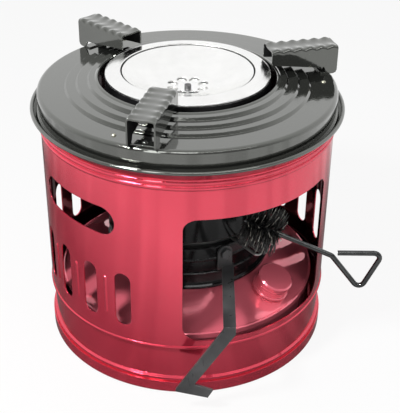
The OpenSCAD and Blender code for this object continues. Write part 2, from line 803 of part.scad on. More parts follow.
module top_plate() {
    curl_h = 5;
    color("#181818") difference() {
        rotate_extrude() polygon(concat(
            plate_path,
            [
                [plate_hole_r, plate_lip_z - 0.6], [plate_hole_r, plate_lip_z - curl_h],
                [plate_hole_r + plate_t, plate_lip_z - curl_h],
                [plate_hole_r + plate_t, plate_lip_z - 1.2 - plate_t]
            ],
            backwards([for (i = [0:len(plate_path) - 2]) plate_path[i] - [plate_t, i > 0 ? plate_t : 0]])
        ));
        for (k = [0:support_count - 1]) {
            rivet_hole(support_az + k * support_step, support_rivet_r);
            rivet_hole(plate_rivet_az + k * support_step, plate_rivet_r);
        }
    }
}

module rivet_hole(az, r) {
    face_out(az, r, plate_z - plate_t - over)
        cylinder(r = rivet_r / 2 + nest_gap / 2, h = plate_t + 2 * over);
}

// Rivet with a domed head on level z and a tail below what it holds.
module rivet(az, r, z, grip) {
    face_out(az, r, z) {
        intersection() {
            translate([0, 0, 1.4 - 1.3 * rivet_r]) sphere(r = 1.3 * rivet_r);
            cylinder(r = 2 * rivet_r, h = 3);
        }
        translate([0, 0, -grip]) cylinder(r = rivet_r / 2, h = grip + 0.2);
        translate([0, 0, -grip - 1]) cylinder(r = rivet_r, h = 1);
    }
}

// Side outline of a pot support: radius across, height up.
function ridge_z(u) = support_top_z + ridge_h / 2 * (1 - cos(360 * ridge_count * u));
support_side = let (
    low = plate_z + seat_gap / 2,
    span = support_out_r - support_in_r,
    mid_r = support_out_r - foot_w - 4,
    lip_low = plate_lip_z + 4
) concat(
    [
        [support_out_r, low + 3], [support_out_r - 0.9, low + 0.9], [support_out_r - 3, low],
        [support_out_r - foot_w + 3, low], [support_out_r - foot_w, low + 3],
        [support_out_r - foot_w - 1, low + 6], [mid_r - 4, low + 6.4], [support_in_r + 10, lip_low - 1],
        [support_in_r, lip_low]
    ],
    [for (i = [0:8 * ridge_count]) [
        support_in_r + span * i / (8 * ridge_count), ridge_z(i / (8 * ridge_count))
    ]]
);

// Runs a cross-section, of width and height, along a pot support and past both ends.
module along_support() {
    translate([support_in_r - 2 * over, 0, 0]) rotate([90, 0, 90])
        linear_extrude(support_out_r - support_in_r + 4 * over) children();
}

// Folded channel, open below and at both ends, with a valley along its top and a tab under its outer end.
module pot_support(k) {
    color("#1e1e1e") face_out(support_az + k * support_step) {
        difference() {
            intersection() {
                translate([0, support_w / 2, 0]) rotate([90, 0, 0]) linear_extrude(support_w)
                    polygon(support_side);
                along_support() {
                    translate([-support_w / 2, plate_z])
                        square([support_w, support_h - fold_r]);
                    translate([-support_w / 2 + fold_r, plate_z])
                        square([support_w - 2 * fold_r, support_h]);
                    for (s = [-1, 1]) translate([s * (support_w / 2 - fold_r), plate_z + support_h - fold_r])
                        circle(r = fold_r);
                }
            }
            along_support() translate([0, valley_z]) circle(r = valley_r);
            difference() {
                translate([0, support_w / 2 - support_t, 0]) rotate([90, 0, 0])
                    linear_extrude(support_w - 2 * support_t) polygon(concat(
                        [[support_out_r + over, plate_z - over], [support_in_r - over, plate_z - over],
                         [support_in_r - over, support_top_z - support_t]],
                        [for (i = [0:8 * ridge_count]) [
                            support_in_r + (support_out_r - support_in_r) * i / (8 * ridge_count),
                            ridge_z(i / (8 * ridge_count)) - support_t
                        ]],
                        [[support_out_r + over, support_top_z - support_t]]
                    ));
                along_support() translate([0, valley_z]) circle(r = valley_r + support_t);
            }
        }
        difference() {
            translate([tab_out_r - tab_len, -support_w / 2 + 0.2, plate_z + seat_gap / 2])
                cube([tab_len, support_w - 0.4, support_t]);
            translate([support_rivet_r, 0, plate_z - over])
                cylinder(r = rivet_r / 2 + nest_gap / 2, h = support_t + 2 * over);
        }
    }
}

module support_rivets() {
    color("#1e1e1e") for (k = [0:support_count - 1])
        rivet(support_az + k * support_step, support_rivet_r,
              plate_z + seat_gap / 2 + support_t, support_t + plate_t + seat_gap);
}

module plate_rivets() {
    color("silver") for (k = [0:support_count - 1])
        rivet(plate_rivet_az + k * support_step, plate_rivet_r, plate_z, plate_t + clip_t + seat_gap);
}

clip_t = 1;
clip_w = 12;

// Angles under the plate that centre it inside the gutter.
module plate_clips() {
    leg_r = gutter_in_r - run_gap - clip_t;
    top = plate_z - plate_t - seat_gap / 2;
    color("#181818") for (k = [0:support_count - 1])
        face_out(plate_rivet_az + k * support_step) difference() {
            union() {
                translate([leg_r, -clip_w / 2, top - clip_t])
                    cube([plate_rivet_r + 4 - leg_r, clip_w, clip_t]);
                translate([leg_r, -clip_w / 2, gutter_z - 4])
                    cube([clip_t, clip_w, top - gutter_z + 4]);
            }
            translate([plate_rivet_r, 0, top - clip_t - over])
                cylinder(r = rivet_r / 2 + nest_gap / 2, h = clip_t + 2 * over);
        }
}

// Filler cap

module filler_cap() {
    inner_r = neck_d / 2 + run_gap;
    skirt = cap_skirt_gap;
    grooves = 3;
    color("crimson") on_cone() difference() {
        rotate_extrude() polygon([
            [0, cap_top], [inner_r, cap_top], [inner_r, skirt], [cap_r + 0.8, skirt],
            [cap_r + 0.8, skirt + 1.6], [cap_r, skirt + 2.2], [cap_r, cap_top + cap_t - 1.2],
            [cap_r - 1.2, cap_top + cap_t], [0, cap_top + cap_t]
        ]);
        for (i = [1:grooves])
            tube(cap_r + over, cap_r - 0.35, skirt + 1.8 + i * (cap_skirt_h - 3) / (grooves + 1), 0.8);
    }
}

module cap_gasket() {
    color("#333333") on_cone()
        tube(neck_d / 2, neck_d / 2 - 4, neck_len + seat_gap, gasket_t);
}

// Lighting brush

// Places the plane of the brush's wire: +X along it, +Z up.
module on_brush() {
    translate(brush_mid) rotate([0, 0, brush_turn]) children();
}

module brush_wire() {
    color("#333333") on_brush() bent_wire(brush_corners, brush_wire_d, brush_bend_r);
}

// One strand of three sides: its root in the core, its tip on the head's radius.
function strand_points(i) = let (
    along = (i + 0.5) / strand_count * (bristle_len - 1.5) - (bristle_len - 1.5) / 2,
    angle = i * golden_turn,
    tip = bristle_r - tip_spread * abs(sin(i * 57)),
    out = [0, cos(angle), sin(angle)],
    side = [0, -sin(angle), cos(angle)],
    axis = [1, 0, 0],
    root = brush_wire_d / 2 + 0.4,
    corner = [for (k = [0:2]) strand_w / sqrt(3) * (cos(120 * k) * axis + sin(120 * k) * side)]
) [for (r = [root, tip], c = corner) along * axis + r * out + c * (r == root ? 0.7 : 1)];

module brush_bristles() {
    faces = [[2, 1, 0], [3, 4, 5], [4, 3, 0], [1, 4, 0], [5, 4, 1], [2, 5, 1], [3, 5, 2], [0, 3, 2]];
    core_r = brush_wire_d / 2 + 1;
    color("#3a3a38") on_brush() rotate([0, -rod_slope, 0]) {
        rotate([0, 90, 0])
            tube(core_r, brush_wire_d / 2 + nest_gap / 2, -bristle_len / 2, bristle_len, $fn = 24);
        polyhedron(
            [for (i = [0:strand_count - 1]) each strand_points(i)],
            [for (i = [0:strand_count - 1], f = faces) [for (v = f) v + 6 * i]]
        );
    }
}

base_pan();
casing();
tank_shell();
tank_lid();
filler_neck();
lower_wick_tubes();
base_collar();
guide_sleeve();
wick_plate();
upper_wick_tubes();
brush_rest();
gutter_ring();
turning_collar();
wick_lever();
lever_bolt();
lever_nut();
wick_carrier();
carrier_pins();
wicks();
outer_drum();
outer_flame_tube();
inner_flame_tube();
cross_pins();
chrome_ring();
spreader_dish();
deflector_plate();
dish_screw();
dish_nut();
top_plate();
pot_support(0);  // pot_support_1
pot_support(1);  // pot_support_2
pot_support(2);  // pot_support_3
support_rivets();
plate_rivets();
plate_clips();
filler_cap();
cap_gasket();
brush_wire();
brush_bristles();
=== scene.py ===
"""Looks of the kerosene stove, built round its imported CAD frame."""

import json
import math
import random

import bpy
import numpy as np
from mathutils import Matrix, Vector


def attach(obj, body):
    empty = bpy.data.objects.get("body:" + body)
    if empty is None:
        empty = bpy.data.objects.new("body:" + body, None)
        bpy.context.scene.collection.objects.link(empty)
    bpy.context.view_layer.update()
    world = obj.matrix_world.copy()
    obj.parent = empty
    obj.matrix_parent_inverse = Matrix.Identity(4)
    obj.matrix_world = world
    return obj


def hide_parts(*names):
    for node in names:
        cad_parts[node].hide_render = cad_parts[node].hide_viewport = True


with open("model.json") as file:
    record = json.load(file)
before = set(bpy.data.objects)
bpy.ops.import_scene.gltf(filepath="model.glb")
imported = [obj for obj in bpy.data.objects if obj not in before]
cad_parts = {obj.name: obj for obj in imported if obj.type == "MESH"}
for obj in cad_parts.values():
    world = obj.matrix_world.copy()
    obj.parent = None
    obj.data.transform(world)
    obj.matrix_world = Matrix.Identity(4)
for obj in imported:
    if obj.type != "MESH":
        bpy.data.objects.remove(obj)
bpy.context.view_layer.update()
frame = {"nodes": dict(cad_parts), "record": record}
MM = 0.001

# Colours, in linear light
RED = (0.73, 0.050, 0.092)
RED_DEEP = (0.64, 0.040, 0.076)
# Sheen colours go into random flecks, and along edges as a painted highlight
RED_SHEEN = (0.80, 0.11, 0.17)
RED_EDGE = (0.95, 0.32, 0.38, 1)
CASING_INSIDE = (0.014, 0.012, 0.012)
TANK_RED = (0.82, 0.165, 0.220)
TANK_RED_DEEP = (0.72, 0.130, 0.175)
ENAMEL = (0.010, 0.0105, 0.0095)
# Sheen colour of the black enamel: flecks, and a painted highlight along edges
ENAMEL_GREY = (0.040, 0.041, 0.038)
ENAMEL_GLOSS = (0.97, 1.0, 0.92, 1)
SATIN_BLACK = (0.004, 0.004, 0.0043)
SATIN_GREY = (0.012, 0.012, 0.0125)
# Light grey along the burner's edges: a painted highlight on its rings, with rubbed metal
RUBBED_AND_HIGHLIGHT = (0.16, 0.16, 0.16)
LEVER_GREY = (0.026, 0.026, 0.027)
LEVER_PALE = (0.065, 0.065, 0.066)
# Light colour along the lever's edges: bare metal where they rub, and a painted highlight
BARE_METAL_AND_HIGHLIGHT = (0.20, 0.195, 0.19)
CHROME = (0.96, 0.96, 0.95)
CHROME_DULL = (0.89, 0.89, 0.88)
STEEL = (0.46, 0.46, 0.45)
STEEL_DULL = (0.28, 0.275, 0.27)
ZINC = (0.50, 0.49, 0.40)
ZINC_DULL = (0.34, 0.33, 0.26)
WIRE = (0.07, 0.072, 0.072)
WIRE_PALE = (0.14, 0.144, 0.144)
COTTON = (0.78, 0.73, 0.60)
COTTON_DARK = (0.45, 0.40, 0.31)
RUBBER = (0.018, 0.018, 0.018)
RUBBER_GREY = (0.045, 0.044, 0.043)
BRISTLE = (0.006, 0.006, 0.006)
BRISTLE_GREY = (0.045, 0.045, 0.043)
SPLIT_BRISTLE = (0.27, 0.26, 0.23)
SPLIT_BRISTLE_PALE = (0.62, 0.60, 0.54)


# Nodes that materials, floor and world share
def spread_node(nodes, links, value, between, to):
    """Number that goes over the range "to" while value goes over the range "between"."""
    node = nodes.new("ShaderNodeMapRange")
    for key, number in zip(("From Min", "From Max", "To Min", "To Max"), (*between, *to)):
        node.inputs[key].default_value = number
    links.new(value, node.inputs["Value"])
    return node.outputs["Result"]


def math_node(nodes, links, operation, first, second, clamp=False):
    """Result of an operation on two values, each a socket or a plain number."""
    node = nodes.new("ShaderNodeMath")
    node.operation = operation
    node.use_clamp = clamp
    for socket, value in zip(node.inputs, (first, second)):
        if isinstance(value, float):
            socket.default_value = value
        else:
            links.new(value, socket)
    return node.outputs[0]


class Shader:
    """A material with a Principled shader and short ways to add nodes to it."""

    EDGE_SAMPLES = 6

    def __init__(self, name):
        self.material = bpy.data.materials.new(name)
        self.material.use_nodes = True
        self.nodes = self.material.node_tree.nodes
        self.links = self.material.node_tree.links
        self.shader = self.nodes["Principled BSDF"]
        coordinates = self.add("ShaderNodeTexCoord")
        self.place = coordinates.outputs["Object"]
        self.facing = coordinates.outputs["Normal"]

    def add(self, kind, **values):
        node = self.nodes.new(kind)
        for key, value in values.items():
            setattr(node, key, value)
        return node

    def join(self, source, target):
        self.links.new(source, target)

    def set(self, **values):
        """Sets the shader's own sockets, with _ for a space in a socket's name."""
        for key, value in values.items():
            self.shader.inputs[key.replace("_", " ")].default_value = value

    def noise(self, scale, detail=3.0, rough=0.55, stretch=(1, 1, 1)):
        mapping = self.add("ShaderNodeMapping")
        mapping.inputs["Scale"].default_value = stretch
        self.join(self.place, mapping.inputs["Vector"])
        node = self.add("ShaderNodeTexNoise")
        node.inputs["Scale"].default_value = scale
        node.inputs["Detail"].default_value = detail
        node.inputs["Roughness"].default_value = rough
        self.join(mapping.outputs["Vector"], node.inputs["Vector"])
        return node.outputs["Fac"]

    def ramp(self, value, between, colours):
        """Colour from the first to the second while value goes over the range "between"."""
        node = self.add("ShaderNodeValToRGB")
        for element, position, colour in zip(node.color_ramp.elements, between, colours):
            element.position = position
            element.color = (*colour, 1)
        self.join(value, node.inputs["Fac"])
        return node.outputs["Color"]

    def spread(self, value, between, to):
        return spread_node(self.nodes, self.links, value, between, to)

    def mix(self, factor, first, second):
        """Mix of two colours, the first a socket, the second a plain colour."""
        node = self.add("ShaderNodeMix", data_type="RGBA")
        self.join(factor, node.inputs["Factor"])
        first_colour, second_colour = [socket for socket in node.inputs if socket.type == "RGBA"]
        self.join(first, first_colour)
        second_colour.default_value = (*second, 1)
        return next(socket for socket in node.outputs if socket.type == "RGBA")

    def soft_edges(self, radius):
        """Normal that rounds sharp edges over a small radius."""
        node = self.add("ShaderNodeBevel", samples=self.EDGE_SAMPLES)
        node.inputs["Radius"].default_value = radius
        return node.outputs["Normal"]

    def edge_mask(self, radius, noise):
        """1 along sharp edges, broken up by noise, and 0 elsewhere."""
        geometry = self.add("ShaderNodeNewGeometry")
        dot = self.add("ShaderNodeVectorMath", operation="DOT_PRODUCT")
        self.join(self.soft_edges(radius), dot.inputs[0])
        self.join(geometry.outputs["Normal"], dot.inputs[1])
        edge = self.spread(dot.outputs["Value"], between=(0.995, 0.90), to=(0.0, 1.0))
        breaks = self.spread(noise, between=(0.45, 0.62), to=(0.0, 1.0))
        return math_node(self.nodes, self.links, "MULTIPLY", edge, breaks)

    def inner_side(self):
        """1 on faces that look towards the stove's upright axis, and 0 elsewhere."""
        outwards = self.add("ShaderNodeVectorMath", operation="MULTIPLY")
        outwards.inputs[1].default_value = (1, 1, 0)
        self.join(self.place, outwards.inputs[0])
        dot = self.add("ShaderNodeVectorMath", operation="DOT_PRODUCT")
        self.join(outwards.outputs["Vector"], dot.inputs[0])
        self.join(self.facing, dot.inputs[1])
        return self.spread(dot.outputs["Value"], between=(-0.01, -0.05), to=(0.0, 1.0))

    def bump(self, height, depth, strength=1.0, normal=None):
        node = self.add("ShaderNodeBump")
        node.inputs["Distance"].default_value = depth
        node.inputs["Strength"].default_value = strength
        self.join(height, node.inputs["Height"])
        if normal is not None:
            self.join(normal, node.inputs["Normal"])
        return node.outputs["Normal"]

    def finish(self, colour, roughness, normal):
        self.join(colour, self.shader.inputs["Base Color"])
        self.join(roughness, self.shader.inputs["Roughness"])
        self.join(normal, self.shader.inputs["Normal"])
        return self.material


# Materials
def gloss_paint(name, main, deep, sheen, rough, edge, inside=None, **shader):
    """Stove paint: slight drift of colour, orange peel, dust in the gloss, rounded edges with a lighter
    sheen colour along them, part wear and part painted highlight.

    A colour for the inside goes on faces that look towards the stove's axis.
    """
    look = Shader(name)
    drift = look.noise(scale=14, detail=2)
    fine = look.noise(scale=220)
    peel = look.noise(scale=420, detail=2)
    dust = look.noise(scale=70, detail=6, rough=0.7)
    colour = look.ramp(drift, between=(0.30, 0.70), colours=(deep, main))
    colour = look.mix(look.spread(fine, between=(0.60, 0.85), to=(0.0, 0.12)), colour, sheen)
    # Lighter sheen colour along the edges: a painted highlight, and partly wear
    colour = look.mix(look.edge_mask(edge, dust), colour, sheen)
    if inside is not None:
        colour = look.mix(look.inner_side(), colour, inside)
    roughness = look.spread(dust, between=(0.35, 0.75), to=rough)
    normal = look.bump(peel, depth=0.08 * MM, strength=0.5, normal=look.soft_edges(edge))
    look.set(Coat_Roughness=0.05, **shader)
    return look.finish(colour, roughness, normal)


def dull_paint(name, main, pale, edge_wear_and_highlight, rough, edge, gloss):
    """Dark paint with scuffs, and a lighter colour along the edges that is part bare metal where they rub
    and part painted highlight.
    """
    look = Shader(name)
    drift = look.noise(scale=40, detail=4)
    scuff = look.noise(scale=160, detail=6, rough=0.7, stretch=(1, 1, 0.25))
    grain = look.noise(scale=900, detail=2)
    colour = look.ramp(drift, between=(0.35, 0.70), colours=(main, pale))
    colour = look.mix(look.spread(scuff, between=(0.60, 0.78), to=(0.0, 0.5)), colour, pale)
    # Lighter colour along the edges: a painted highlight, with bare metal where they rub
    colour = look.mix(look.edge_mask(edge, scuff), colour, edge_wear_and_highlight)
    roughness = look.spread(scuff, between=(0.30, 0.75), to=rough)
    normal = look.bump(grain, depth=0.06 * MM, strength=0.6, normal=look.soft_edges(edge))
    look.set(Specular_IOR_Level=gloss)
    return look.finish(colour, roughness, normal)


def bright_metal(name, main, dull, rough, edge, stretch=(1, 1, 1), scale=300):
    """Plated or bare metal with stains, and fine lines that lie closer along a stretched direction."""
    look = Shader(name)
    lines = look.noise(scale=scale, detail=4, rough=0.6, stretch=stretch)
    stain = look.noise(scale=30, detail=5, rough=0.65)
    colour = look.ramp(stain, between=(0.40, 0.72), colours=(main, dull))
    roughness = look.spread(lines, between=(0.30, 0.70), to=rough)
    normal = look.bump(lines, depth=0.03 * MM, strength=0.4, normal=look.soft_edges(edge))
    look.set(Metallic=1.0)
    return look.finish(colour, roughness, normal)


def woven(name, main, dark):
    """Braided cotton: slanting bands with fuzz."""
    look = Shader(name)
    bands = look.add("ShaderNodeTexWave", wave_type="BANDS", bands_direction="DIAGONAL")
    bands.inputs["Scale"].default_value = 260
    bands.inputs["Distortion"].default_value = 1.5
    look.join(look.place, bands.inputs["Vector"])
    fuzz = look.noise(scale=700)
    colour = look.ramp(bands.outputs["Fac"], between=(0.2, 0.8), colours=(dark, main))
    roughness = look.spread(fuzz, between=(0.3, 0.7), to=(0.75, 0.95))
    normal = look.bump(bands.outputs["Fac"], depth=0.4 * MM)
    look.set(Sheen_Weight=0.3, Sheen_Roughness=0.6)
    return look.finish(colour, roughness, normal)


def fibre(name, main, pale, rough):
    """Stiff fibre or rubber: colour changes from strand to strand."""
    look = Shader(name)
    strand = look.noise(scale=900, detail=2)
    grain = look.noise(scale=2500, detail=2)
    colour = look.ramp(strand, between=(0.38, 0.72), colours=(main, pale))
    roughness = look.spread(grain, between=(0.3, 0.7), to=rough)
    return look.finish(colour, roughness, look.bump(grain, depth=0.04 * MM, strength=0.5))


LOOKS = {
    "red_paint": gloss_paint(
        "red_paint", RED, RED_DEEP, RED_SHEEN, rough=(0.08, 0.18), edge=0.4 * MM, inside=CASING_INSIDE,
        Metallic=0.75, Coat_Weight=0.75, Coat_IOR=1.6, Specular_Tint=RED_EDGE,
    ),
    "tank_paint": gloss_paint(
        "tank_paint", TANK_RED, TANK_RED_DEEP, RED_SHEEN, rough=(0.04, 0.11), edge=0.4 * MM,
        Metallic=0.45, Coat_Weight=0.6,
    ),
    "black_enamel": gloss_paint(
        "black_enamel", ENAMEL, ENAMEL, ENAMEL_GREY, rough=(0.04, 0.17), edge=0.5 * MM,
        IOR=2.0, Coat_Weight=0.8, Specular_Tint=ENAMEL_GLOSS,
    ),
    # The burner's light edge colour paints highlights on its rings, with rubbed metal
    "burner_black": dull_paint(
        "burner_black", SATIN_BLACK, SATIN_GREY, RUBBED_AND_HIGHLIGHT, rough=(0.06, 0.18), edge=0.9 * MM, gloss=0.3
    ),
    "dark_steel": dull_paint(
        "dark_steel", LEVER_GREY, LEVER_PALE, BARE_METAL_AND_HIGHLIGHT, rough=(0.24, 0.42), edge=0.4 * MM, gloss=0.5
    ),
    "bright_chrome": bright_metal(
        "bright_chrome", CHROME, CHROME_DULL, rough=(0.14, 0.26), edge=0.4 * MM, stretch=(1, 1, 6), scale=120
    ),
    "plain_steel": bright_metal(
        "plain_steel", STEEL, STEEL_DULL, rough=(0.30, 0.50), edge=0.3 * MM, stretch=(1, 1, 8), scale=120
    ),
    "fastener_zinc": bright_metal("fastener_zinc", ZINC, ZINC_DULL, rough=(0.22, 0.40), edge=0.3 * MM),
    "wire_steel": bright_metal("wire_steel", WIRE, WIRE_PALE, rough=(0.10, 0.20), edge=1.2 * MM),
    "wick_cotton": woven("wick_cotton", COTTON, COTTON_DARK),
    "gasket_rubber": fibre("gasket_rubber", RUBBER, RUBBER_GREY, rough=(0.55, 0.75)),
    "bristle_fibre": fibre("bristle_fibre", BRISTLE, BRISTLE_GREY, rough=(0.20, 0.38)),
}
SPLIT_FIBRE = fibre("split_fibre", SPLIT_BRISTLE, SPLIT_BRISTLE_PALE, rough=(0.25, 0.45))
SUPPORT_INSIDE = dull_paint(
    "support_inside", SATIN_BLACK, SATIN_GREY, SATIN_GREY, rough=(0.55, 0.75), edge=0.5 * MM, gloss=0.1
)


def dress(obj, slot):
    """Gives an object the material of a slot, in place of all it has."""
    obj.data.materials.clear()
    obj.data.materials.append(LOOKS[slot])


for part in frame["record"]["subparts"]:
    dress(frame["nodes"][part["node"]], part["material_slot"])


# Bristle head: fine bent strands on a twisted core, in place of the CAD strands
BRUSH_MID = Vector((60.5, -69.2, 127.1)) * MM
BRUSH_TURN = math.radians(-5.7)
ROD_SLOPE = math.radians(-21.7)
HEAD_LEN = 27 * MM
HEAD_R = 20.4 * MM
ROD_R = 2.1 * MM
STRANDS = 460
STRAND_R = 0.46 * MM
STRAND_TAPER = 0.35
STRAND_STEPS = 3
STRAND_SIDES = 4
STRAND_TURN = math.radians(137.508)
STRAND_TURN_CHANCE = 0.12
SPLIT_EVERY = 9
SHORTEST_STRAND = 0.78
TIP_FAN = 0.12
TIP_LEAN_CHANCE = 1.2 * MM
TIP_SWING_CHANCE = 0.07
CORE_R = 2.6 * MM
CORE_WIRE_R = 0.55 * MM
CORE_SIDES = 8
CORE_TURNS = 7
CORE_STEPS = 14 * CORE_TURNS

BRUSH_TILT = Matrix.Rotation(BRUSH_TURN, 4, "Z") @ Matrix.Rotation(-ROD_SLOPE, 4, "Y")
BRUSH_PLACE = Matrix.Translation(BRUSH_MID) @ BRUSH_TILT


def tube_mesh(paths, radii, sides):
    """Vertices and faces of closed tubes along paths, with a radius for each point of a path."""
    vertices, faces = [], []
    for path in paths:
        first = len(vertices)
        for i, point in enumerate(path):
            run = (path[min(i + 1, len(path) - 1)] - path[max(i - 1, 0)]).normalized()
            across = run.orthogonal().normalized()
            other = run.cross(across)
            for k in range(sides):
                angle = 2 * math.pi * k / sides
                vertices.append(point + radii[i] * (math.cos(angle) * across + math.sin(angle) * other))
        for i in range(len(path) - 1):
            for k in range(sides):
                a = first + i * sides + k
                b = first + i * sides + (k + 1) % sides
                faces.append((a, b, b + sides, a + sides))
        faces.append(tuple(range(first + sides - 1, first - 1, -1)))
        last = first + (len(path) - 1) * sides
        faces.append(tuple(range(last, last + sides)))
    return vertices, faces


def strand_path(chance, i):
    """Points of one strand from the core to its tip, in the head's own frame: +X along the rod."""
    along = (i + 0.5) / STRANDS * HEAD_LEN - HEAD_LEN / 2
    angle = i * STRAND_TURN + chance.uniform(-STRAND_TURN_CHANCE, STRAND_TURN_CHANCE)
    tip_r = HEAD_R * chance.uniform(SHORTEST_STRAND, 1.0)
    lean = along * TIP_FAN + chance.uniform(-TIP_LEAN_CHANCE, TIP_LEAN_CHANCE)
    swing = chance.uniform(-TIP_SWING_CHANCE, TIP_SWING_CHANCE)
    points = []
    for step in range(STRAND_STEPS + 1):
        share = step / STRAND_STEPS
        r = ROD_R + (tip_r - ROD_R) * share
        turn = angle + swing * share * share
        x = max(-HEAD_LEN / 2, min(HEAD_LEN / 2, along + lean * share))
        points.append(Vector((x, r * math.cos(turn), r * math.sin(turn))))
    return points


def core_path(start):
    """Points of one wire of the twisted core, which begins at the angle start."""
    points = []
    for step in range(CORE_STEPS + 1):
        share = step / CORE_STEPS
        angle = start + 2 * math.pi * CORE_TURNS * share
        points.append(Vector(((share - 0.5) * HEAD_LEN, CORE_R * math.cos(angle), CORE_R * math.sin(angle))))
    return points


def new_piece(name, vertices, faces, place, slot, body):
    """A smooth piece with the look of a slot, which rides on a body of the frame."""
    mesh = bpy.data.meshes.new(name)
    mesh.from_pydata([place @ v for v in vertices], [], faces)
    mesh.shade_smooth()
    obj = bpy.data.objects.new(name, mesh)
    bpy.context.scene.collection.objects.link(obj)
    dress(obj, slot)
    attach(obj, body)
    return obj


chance = random.Random(7)
strand_radii = [STRAND_R * (1.0 - STRAND_TAPER * k / STRAND_STEPS) for k in range(STRAND_STEPS + 1)]
strand_paths = [strand_path(chance, i) for i in range(STRANDS)]
split_paths = strand_paths[::SPLIT_EVERY]
dark_paths = [path for i, path in enumerate(strand_paths) if i % SPLIT_EVERY]
strand_groups = (
    ("bristle_strands", dark_paths, LOOKS["bristle_fibre"]),
    ("split_strands", split_paths, SPLIT_FIBRE),
)
for name, paths, material in strand_groups:
    strand_mesh = tube_mesh(paths, strand_radii, STRAND_SIDES)
    strands = new_piece(name, *strand_mesh, BRUSH_PLACE, "bristle_fibre", "brush")
    strands.data.materials[0] = material
    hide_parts("brush_bristles")

core_paths = [core_path(0), core_path(math.pi)]
core_mesh = tube_mesh(core_paths, [CORE_WIRE_R] * (CORE_STEPS + 1), CORE_SIDES)
new_piece("bristle_core", *core_mesh, BRUSH_PLACE, "wire_steel", "brush")


# Pot supports: folded sheet with a wavy hollow top, in place of the CAD channels
PLATE_Z = 219.4 * MM
SUPPORT_AZ = -14.3
SUPPORT_COUNT = 3
SUPPORT_IN_R = 66.4 * MM
SUPPORT_OUT_R = 122.8 * MM
SUPPORT_HALF_W = 10.75 * MM
SUPPORT_TOP_Z = PLATE_Z + 24.35 * MM
SUPPORT_T = 1.2 * MM
FOLD_R = 2.5 * MM
FOOT_Z = PLATE_Z + 0.05 * MM
FOOT_IN_R = SUPPORT_OUT_R - 10 * MM
LIP_LOW_Z = PLATE_Z + 11.3 * MM
TAB_R = (109.2 * MM, 116.4 * MM)
TAB_SIDE_GAP = 0.2 * MM
RIDGES = 6
RIDGE_H = 1.2 * MM
RIDGE_MIDDLE = 0.14
RIDGE_LEAN = 1.3
VALLEY = 1.3 * MM
SUPPORT_STEPS = 72
SIDE_ROWS = 6
FOLD_ROWS = 6
TOP_ROWS = 10
SHARP_FROM = math.radians(40)

# Lower edge of a support's sides, from its inner end to its outer one: radius and height
SUPPORT_LOWER_EDGE = (
    (SUPPORT_IN_R, LIP_LOW_Z),
    (SUPPORT_IN_R + 10 * MM, LIP_LOW_Z - 1 * MM),
    (FOOT_IN_R - 8 * MM, FOOT_Z + 6.4 * MM),
    (FOOT_IN_R - 1 * MM, FOOT_Z + 6 * MM),
    (FOOT_IN_R, FOOT_Z + 3 * MM),
    (FOOT_IN_R + 3 * MM, FOOT_Z),
    (SUPPORT_OUT_R - 3 * MM, FOOT_Z),
    (SUPPORT_OUT_R - 0.9 * MM, FOOT_Z + 0.9 * MM),
    (SUPPORT_OUT_R, FOOT_Z + 3 * MM),
)

# Corners of a box's faces, for corners that count up along X, then Y, then Z
BOX_FACES = ((0, 2, 3, 1), (4, 5, 7, 6), (0, 1, 5, 4), (2, 6, 7, 3), (0, 4, 6, 2), (1, 3, 7, 5))


def support_top(share, edge):
    """Height of the top at a share of the length, and at edge: 0 along the middle, 1 along the folds."""
    wave = 0.5 - 0.5 * math.cos(2 * math.pi * RIDGES * share + RIDGE_LEAN * (1 - edge))
    ridge_share = RIDGE_MIDDLE + (1 - RIDGE_MIDDLE) * edge ** 3
    return SUPPORT_TOP_Z - RIDGE_H * (1 - wave) * ridge_share - VALLEY * (1 - edge ** 2)


def support_section(r):
    """Outer line of a support's section at radius r, from one lower edge over the top to the other."""
    share = (r - SUPPORT_IN_R) / (SUPPORT_OUT_R - SUPPORT_IN_R)
    fold_z = support_top(share, 1.0) - FOLD_R
    fold_y = SUPPORT_HALF_W - FOLD_R
    low_z = float(np.interp(r, *zip(*SUPPORT_LOWER_EDGE)))
    half = [(-SUPPORT_HALF_W, low_z + (fold_z - low_z) * i / SIDE_ROWS) for i in range(SIDE_ROWS)]
    for i in range(FOLD_ROWS):
        angle = math.pi / 2 * i / FOLD_ROWS
        half.append((-fold_y - FOLD_R * math.cos(angle), fold_z + FOLD_R * math.sin(angle)))
    for i in range(TOP_ROWS):
        edge = 1 - i / TOP_ROWS
        half.append((-fold_y * edge, support_top(share, edge)))
    return half + [(0.0, support_top(share, 0.0))] + [(-y, z) for y, z in reversed(half)]


def thickened(section):
    """The section's inner line, one sheet thickness inside its outer line."""
    line = np.array(section)
    run = np.gradient(line, axis=0)
    run /= np.linalg.norm(run, axis=1)[:, None]
    return line - SUPPORT_T * np.column_stack((-run[:, 1], run[:, 0]))


